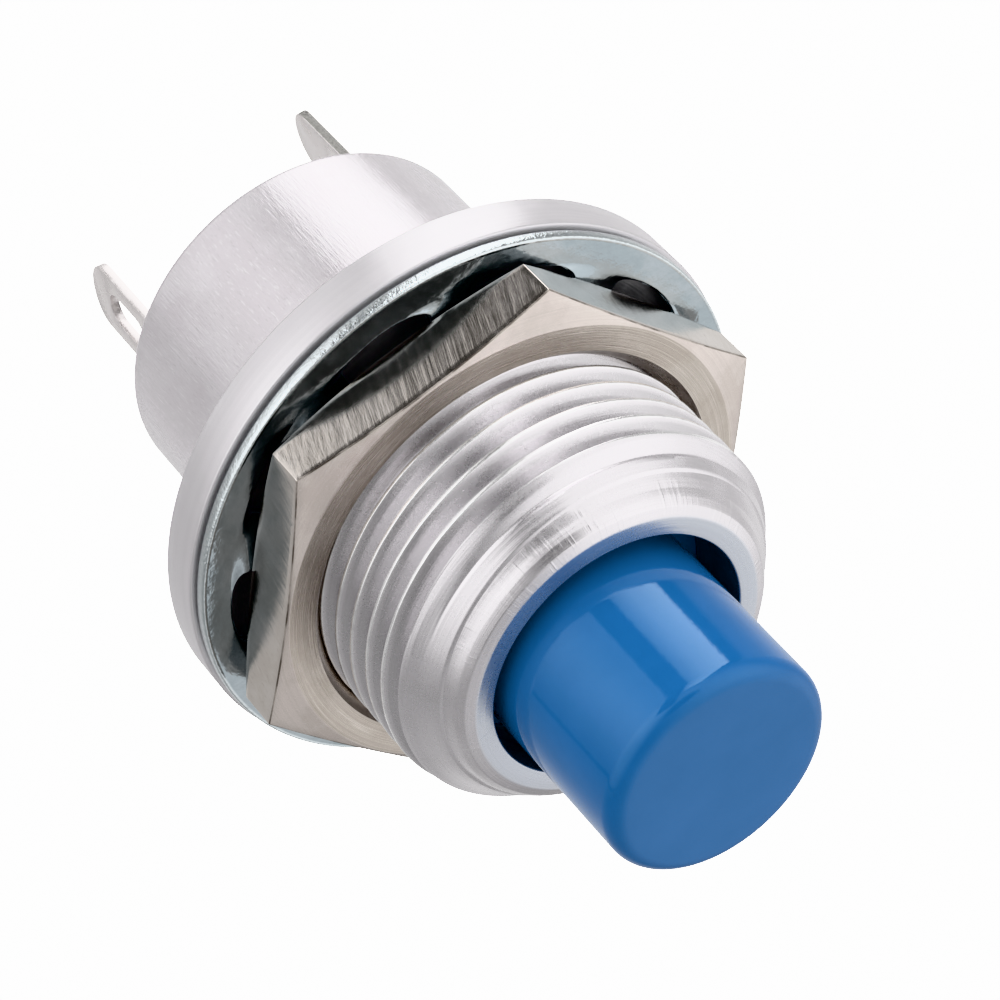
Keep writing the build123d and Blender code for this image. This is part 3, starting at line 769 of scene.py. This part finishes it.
# ---------------------------------------------------------------- solder lugs
def make_lug(name, rivet, deg, slot_z):
    """A strip with a foot under the rivet, a bend, and a blade with a rounded end and a slot."""
    d = math.radians(deg)
    out, side = np.array([math.cos(d), math.sin(d), 0.0]), np.array([-math.sin(d), math.cos(d), 0.0])
    base = np.array([rivet[0], rivet[1], 0.0])
    z_foot0, z_foot1, reach, tip_z, tip_len, bend = -8.72, -8.42, 1.46, -15.20, 0.88, 0.22
    t, w = LUG_T, LUG_W
    s = Shell()

    def place(a, b, c):
        """a outward from the rivet, b across, c height"""
        return base + np.multiply.outer(a, out) + np.multiply.outer(b, side) + np.multiply.outer(c, np.array([0, 0, 1.0]))

    bev = 0.030
    # foot and bend: section rows along the path, each a rounded rectangle across
    mid_z = (z_foot0 + z_foot1) / 2
    path = [(-1.02, mid_z, 0.0)]
    for a in np.linspace(-0.98, reach - bend - t / 2 + 0.0, 10):
        path.append((a, mid_z, 0.0))
    for k in range(1, 9):
        f = math.radians(90) * k / 8
        path.append((reach - bend - t / 2 + 0 + (bend + t / 2) * math.sin(f) - 0, mid_z - (bend + t / 2) * (1 - math.cos(f)), f))
    low_z = path[-1][1]
    path = np.array(path)

    def section(a, z, f, wide, thick):
        nx, nz = math.sin(f), math.cos(f)   # the strip's outer normal
        ring = []
        for b, h in (
            (-wide / 2 + bev, -thick / 2), (wide / 2 - bev, -thick / 2), (wide / 2 - bev * 0.3, -thick / 2 + bev * 0.3), (wide / 2, -thick / 2 + bev),
            (wide / 2, thick / 2 - bev), (wide / 2 - bev * 0.3, thick / 2 - bev * 0.3), (wide / 2 - bev, thick / 2), (-wide / 2 + bev, thick / 2),
            (-wide / 2 + bev * 0.3, thick / 2 - bev * 0.3), (-wide / 2, thick / 2 - bev), (-wide / 2, -thick / 2 + bev), (-wide / 2 + bev * 0.3, -thick / 2 + bev * 0.3),
        ):
            ring.append(place(a + h * nx, b, z + h * nz))
        return ring

    rows = []
    for i, (a, z, f) in enumerate(path):
        x = a + 1.02
        wide = w if x > w / 2 else 2 * math.sqrt(max((w / 2) ** 2 - (w / 2 - x) ** 2, 0.09))
        rows.append(section(a, z, f, wide, t))
    rows = np.array(rows)
    s.grid(rows, 0, close_cols=True)
    s.faces(rows[0], [tuple(range(12))], 1)
    # blade: an outer loop and the slot's loop, stitched
    slot_w, slot_l = 1.10, 2.20
    n_end, n_slot = 40, 48
    loop = []
    for z in np.linspace(low_z, tip_z + tip_len, 26):
        loop.append((-w / 2, z))
    for k in range(1, n_end):
        f = math.pi * k / n_end
        loop.append((-w / 2 * math.cos(f), tip_z + tip_len - tip_len * math.sin(f) ** 0.9))
    for z in np.linspace(tip_z + tip_len, low_z, 26):
        loop.append((w / 2, z))
    loop = np.array(loop)
    hole = []
    hr, hs = slot_w / 2, slot_l / 2 - slot_w / 2
    for k in range(n_slot):
        f = 2 * math.pi * k / n_slot
        hole.append((hr * math.cos(f), slot_z + (hs if math.sin(f) > 0 else -hs if math.sin(f) < 0 else 0) + hr * math.sin(f)))
    hole = np.array(hole)

    def inset(poly, by, closed=True):
        nxt, prv = np.roll(poly, -1, 0), np.roll(poly, 1, 0)
        if not closed:
            nxt[-1], prv[0] = poly[-1] + (poly[-1] - poly[-2]), poly[0] - (poly[1] - poly[0])
        tangent = nxt - prv
        tangent /= np.maximum(np.linalg.norm(tangent, axis=1, keepdims=True), 1e-9)
        return poly + by * np.stack([-tangent[:, 1], tangent[:, 0]], -1)

    from mathutils.geometry import tessellate_polygon

    for side_sign, lift in ((1, t / 2), (-1, -t / 2)):
        o, h = inset(loop, bev, False), inset(hole, -bev)
        o[0], o[-1] = (-w / 2 + bev, low_z), (w / 2 - bev, low_z)
        flat = [[Vector((p[0], p[1], 0)) for p in o], [Vector((p[0], p[1], 0)) for p in h]]
        tris = tessellate_polygon(flat)
        q = np.concatenate([o, h])
        p = place(reach + lift + 0 * q[:, 0], q[:, 0], q[:, 1])
        s.faces(p, [tuple(f) for f in tris], 0)
    for poly, sg, closed in ((loop, 1, False), (hole, -1, True)):
        rings = []
        for by, lift in ((bev, t / 2), (bev * 0.3, t / 2 - bev * 0.3), (0.0, t / 2 - bev), (0.0, -t / 2 + bev), (bev * 0.3, -t / 2 + bev * 0.3), (bev, -t / 2)):
            q = inset(poly, by * sg, closed)
            if not closed:
                q[0], q[-1] = (-w / 2 + by, low_z), (w / 2 - by, low_z)
            rings.append(place(reach + lift + 0 * q[:, 0], q[:, 0], q[:, 1]))
        # one lug was sheared with a torn edge, the other and both slots are plated over
        torn = 1 if name.endswith("right") and not closed else 0
        s.grid(np.array(rings), np.array([0, 0, torn, 0, 0]), close_cols=closed)
    return s.build(name, [TIN, TIN_EDGE], sharp=35, weld=1e-3)


RIVETS = {"right": (2.42, 0.36, -10.5, -12.05), "left": (-2.42, -0.36, 161.5, -13.00)}
for key, (rx, ry, deg, slot_z) in RIVETS.items():
    ride(make_lug("solder_lug_" + key, (rx, ry), deg, slot_z), "root", "tinned_brass", "terminal_" + key)


# ---------------------------------------------------------------- rivets and base
def make_rivet(name, x, y):
    s = Shell()
    head = fillet([(0.0, -6.42), (0.55, -6.42), (0.9, -6.52), (0.9, -6.90), (0.5, -6.90), (0.5, -8.72), (0.80, -8.74), (0.78, -8.86), (0.40, -8.98), (0.22, -8.93), (0.0, -8.86)],
                  [0, 0.3, 0.12, 0.02, 0, 0, 0.03, 0.06, 0.12, 0.05, 0], 5)
    s.grid(turned(head, np.linspace(0, 2 * math.pi, 97), (x, y)), 0)
    return s.build(name, [SILVER], sharp=40)


for key, (rx, ry, _, _) in RIVETS.items():
    ride(make_rivet("contact_stud_" + key, rx, ry), "root", "silver_plate", "contact_rivet_" + key)


def make_base():
    s = Shell()
    run = [(0.0, -7.90), (1.50, -7.90), (1.50, -6.90), (5.07, -6.90), (5.07, -8.42), (0.0, -8.42)]
    p = fillet(run, [0, 0.10, 0.07, 0.05, 0.08, 0], 5)
    rings = fillet([(4.55, -8.42), (4.50, -8.37), (4.40, -8.37), (4.35, -8.42)], [0, 0.01, 0.01, 0], 2)
    k = next(i for i in range(len(p) - 1) if p[i][0] > 4.6 and p[i + 1][0] < 4.3 and p[i][1] < -8.3)
    p = np.concatenate([p[: k + 1], rings, p[k + 1 :]])
    s.grid(turned(p, np.linspace(0, 2 * math.pi, 181)), 0)
    return s.build("base_disc", [PHENOLIC], sharp=40)


ride(make_base(), "root", "dark_phenolic", "terminal_base")


# ---------------------------------------------------------------- springs
def make_spring(name, z0, z1, mean, wire, turns):
    s = Shell()
    n, sides = int(turns * 40), 10
    u = np.linspace(0, 1, n + 1)
    closed = 1.0 / turns
    free = np.clip((u - closed * 0.9) / (1 - 1.8 * closed), 0, 1)
    rise = 2 * wire * 1.02
    z = z0 + wire + np.minimum(u, closed) / closed * rise + (1 - np.minimum(1 - u, closed) / closed) * 0 + free * (z1 - z0 - 2 * wire - 2 * rise) + np.clip((u - 1 + closed) / closed, 0, 1) * rise
    t = 2 * math.pi * turns * u
    c = np.stack([mean * np.cos(t), mean * np.sin(t), z], -1)
    tangent = np.gradient(c, axis=0)
    tangent /= np.linalg.norm(tangent, axis=1, keepdims=True)
    outward = np.stack([np.cos(t), np.sin(t), 0 * t], -1)
    up = np.cross(outward, tangent)
    rows = []
    for k in range(sides):
        w = 2 * math.pi * k / sides
        rows.append(c + wire * (math.cos(w) * outward + math.sin(w) * up))
    p = np.array(rows)
    s.grid(p, 0, close_rows=True)
    s.faces(p[:, 0], [tuple(range(sides))], 0)
    s.faces(p[:, -1], [tuple(range(sides))], 0)
    return s.build(name, [STEEL], sharp=50)


long_spring = ride(make_spring("long_return_spring", -1.0, 9.0, 2.20, 0.175, 9), "root", "spring_wire", "return_spring")
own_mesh(long_spring)
short_spring = ride(make_spring("short_contact_spring", -5.05, -2.60, 1.15, 0.11, 4.5), "button", "spring_wire", "contact_spring")
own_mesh(short_spring)

# ---------------------------------------------------------------- CAD pieces that keep their own shape
for node, material in {
    "plunger_stem": BRASS, "guide_plate": NYLON, "contact_bridge": SILVER, "stem_clip": CLIP, "liner_sleeve": FIBRE,
}.items():
    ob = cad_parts[node]
    ob.data.materials.clear()
    ob.data.materials.append(material)

# ---------------------------------------------------------------- camera, at the photograph's viewing angle
right, up, back = Vector((0.784843, -0.323601, 0.528492)), Vector((0.609117, 0.559747, -0.561837)), Vector((-0.114011, 0.762867, 0.636424))
cam_data = bpy.data.cameras.new("camera")
cam_data.lens, cam_data.sensor_width = 144.15, 36.0
cam_data.clip_start, cam_data.clip_end = 0.001, 10.0
cam = bpy.data.objects.new("camera", cam_data)
bpy.context.scene.collection.objects.link(cam)
cam.matrix_world = Matrix(((right.x, up.x, back.x, -0.011971), (right.y, up.y, back.y, 0.083666), (right.z, up.z, back.z, 0.070805), (0, 0, 0, 1)))
bpy.context.scene.camera = cam

# ---------------------------------------------------------------- soft studio light: a pale tent round the part
world = bpy.data.worlds.new("studio")
bpy.context.scene.world = world
world.use_nodes = True
wg = Graph.__new__(Graph)
wg.nt, wg.x = world.node_tree, 0
wg.nt.nodes.clear()
tc = wg.node("ShaderNodeTexCoord")
direction = wg.vec("NORMALIZE", tc.outputs["Generated"])
X, Y, Z = (wg.vec("DOT_PRODUCT", direction, tuple(v)) for v in (right, up, back))


def window(x, lo, hi, edge):
    return wg.math("MULTIPLY", wg.soft(x, lo - edge, lo + edge), wg.soft(x, hi - edge, hi + edge, 1.0, 0.0))


def glow(az, el, width, power):
    """A soft round glow about a direction given from the camera's side: az to the right, el up."""
    a, e = math.radians(az), math.radians(el)
    d = wg.vec("DOT_PRODUCT", direction, tuple(right * (math.sin(a) * math.cos(e)) + up * math.sin(e) + back * (math.cos(a) * math.cos(e))))
    return wg.math("MULTIPLY", wg.soft(d, math.cos(math.radians(width)), 1.0), power)


Ysafe = wg.math("MAXIMUM", Y, 0.02)
tx, tz = wg.math("DIVIDE", X, Ysafe), wg.math("DIVIDE", Z, Ysafe)
Xleft = wg.math("MAXIMUM", wg.math("MULTIPLY", X, -1.0), 0.02)
ly, lz = wg.math("DIVIDE", Y, Xleft), wg.math("DIVIDE", Z, Xleft)

# the overhead panel: a bright rectangle with a slanted left edge
near = wg.math("SUBTRACT", tx, wg.fit(tz, 0.04, 0.13, -0.375, -0.285))
overhead = wg.math("MULTIPLY", wg.soft(near, -0.025, 0.025), wg.soft(tx, 0.190, 0.240, 1.0, 0.0))
overhead = wg.math("MULTIPLY", overhead, window(tz, -0.62, 0.90, 0.03))
overhead = wg.math("MULTIPLY", overhead, wg.soft(Y, 0.03, 0.08))
slope = wg.math("ADD", wg.fit(tx, -0.30, -0.05, 1.2, 3.15), wg.fit(tx, -0.05, 0.15, 0.0, 0.75))

# dark gaps in the tent: left of the panel, right of it, and one far to the left
far = wg.math("ADD", tx, wg.math("ADD", wg.math("MULTIPLY", tz, 0.40), 0.522))
gap_top = wg.math("MULTIPLY", wg.soft(far, -0.03, 0.03), wg.soft(near, -0.02, 0.03, 1.0, 0.0))
gap_top = wg.math("MULTIPLY", gap_top, wg.math("MULTIPLY", wg.soft(Y, 0.3, 0.4), wg.soft(tz, -0.40, -0.30)))
gap_right = wg.math("MULTIPLY", window(tx, 0.21, 0.37, 0.04), wg.math("MULTIPLY", wg.soft(Y, 0.3, 0.4), window(tz, -0.56, 0.0, 0.05)))
gap_left = window(wg.math("ADD", lz, wg.math("MULTIPLY", ly, 0.73)), -0.395, -0.320, 0.02)
gap_left = wg.math("MULTIPLY", gap_left, wg.math("MULTIPLY", wg.soft(X, -0.4, -0.3, 0.80, 0.0), wg.soft(ly, 0.5, 0.7, 1.0, 0.0)))
gaps = wg.math("MAXIMUM", gap_top, wg.math("MAXIMUM", gap_right, gap_left))

# broad soft glows round the tent: from the camera's side az to the right and el up, and how bright
GLOWS = [
    (0, -90, 0.14), (-40, 35, 0.66), (160, 40, 0.32), (-142, -16, 0.27), (-95, 0, 0.10), (-80, 40, 0.40), (-50, -5, 1.04),
    (45, 12, 0.72), (120, 0, 0.30), (180, 0, 0.38), (95, -32, 0.38), (75, 0, 0.20), (80, -20, 0.26), (-20, 15, 0.20),
    (45, 30, 0.50), (66, -50, 0.19), (-155, -58, 0.10),
]
base = 0.18
for az, el, strength in GLOWS:
    base = wg.math("ADD", base, glow(az, el, 55, strength))
level = wg.math("MULTIPLY", base, wg.math("SUBTRACT", 1.0, wg.math("MULTIPLY", gaps, 0.93)))
# the opening in the tent that the picture is taken through
opening = wg.vec("DOT_PRODUCT", direction, tuple(right * 0.189 + up * 0.122 + back * 0.974))
level = wg.math("MULTIPLY", level, wg.soft(opening, math.cos(math.radians(20)), math.cos(math.radians(9)), 1.0, 0.07))
mixer = wg.node("ShaderNodeMix", data_type="FLOAT")
wg.put(mixer.inputs["Factor"], overhead)
wg.put(mixer.inputs[2], level)
wg.put(mixer.inputs[3], slope)
seen = wg.node("ShaderNodeLightPath").outputs["Is Camera Ray"]
power = wg.node("ShaderNodeMix", data_type="FLOAT")
wg.put(power.inputs["Factor"], seen)
wg.put(power.inputs[2], mixer.outputs[0])
wg.put(power.inputs[3], 6.0)
bg = wg.node("ShaderNodeBackground")
bg.inputs["Color"].default_value = (1.0, 1.0, 1.0, 1.0)
wg.put(bg.inputs["Strength"], power.outputs[0])
out = wg.node("ShaderNodeOutputWorld")
wg.nt.links.new(bg.outputs[0], out.inputs[0])

# ---------------------------------------------------------------- plain pale floor
fg = Graph("pale_floor")
em = fg.node("ShaderNodeEmission")
em.inputs["Color"].default_value = (1.0, 1.0, 1.0, 1.0)
em.inputs["Strength"].default_value = 5.7
df = fg.node("ShaderNodeBsdfDiffuse")
df.inputs["Color"].default_value = (0.5, 0.5, 0.5, 1.0)
add = fg.node("ShaderNodeAddShader")
fg.nt.links.new(em.outputs[0], add.inputs[0])
fg.nt.links.new(df.outputs[0], add.inputs[1])
clear = fg.node("ShaderNodeBsdfTransparent")
geo = fg.node("ShaderNodeNewGeometry")
pick = fg.node("ShaderNodeMixShader")
fg.nt.links.new(geo.outputs["Backfacing"], pick.inputs[0])
fg.nt.links.new(add.outputs[0], pick.inputs[1])
fg.nt.links.new(clear.outputs[0], pick.inputs[2])
fo = fg.node("ShaderNodeOutputMaterial")
fg.nt.links.new(pick.outputs[0], fo.inputs[0])
fm = bpy.data.meshes.new("floor")
size, floor_z = 4.0, -0.075
fm.from_pydata([(-size, -size, floor_z), (size, -size, floor_z), (size, size, floor_z), (-size, size, floor_z)], [], [(0, 1, 2, 3)])
fm.materials.append(fg.mat)
floor = bpy.data.objects.new("floor", fm)
bpy.context.scene.collection.objects.link(floor)
for flag in ("visible_glossy", "visible_diffuse", "visible_transmission", "visible_shadow"):
    setattr(floor, flag, False)

bpy.context.scene.view_settings.view_transform = "Khronos PBR Neutral"
bpy.context.scene.view_settings.look = "None"
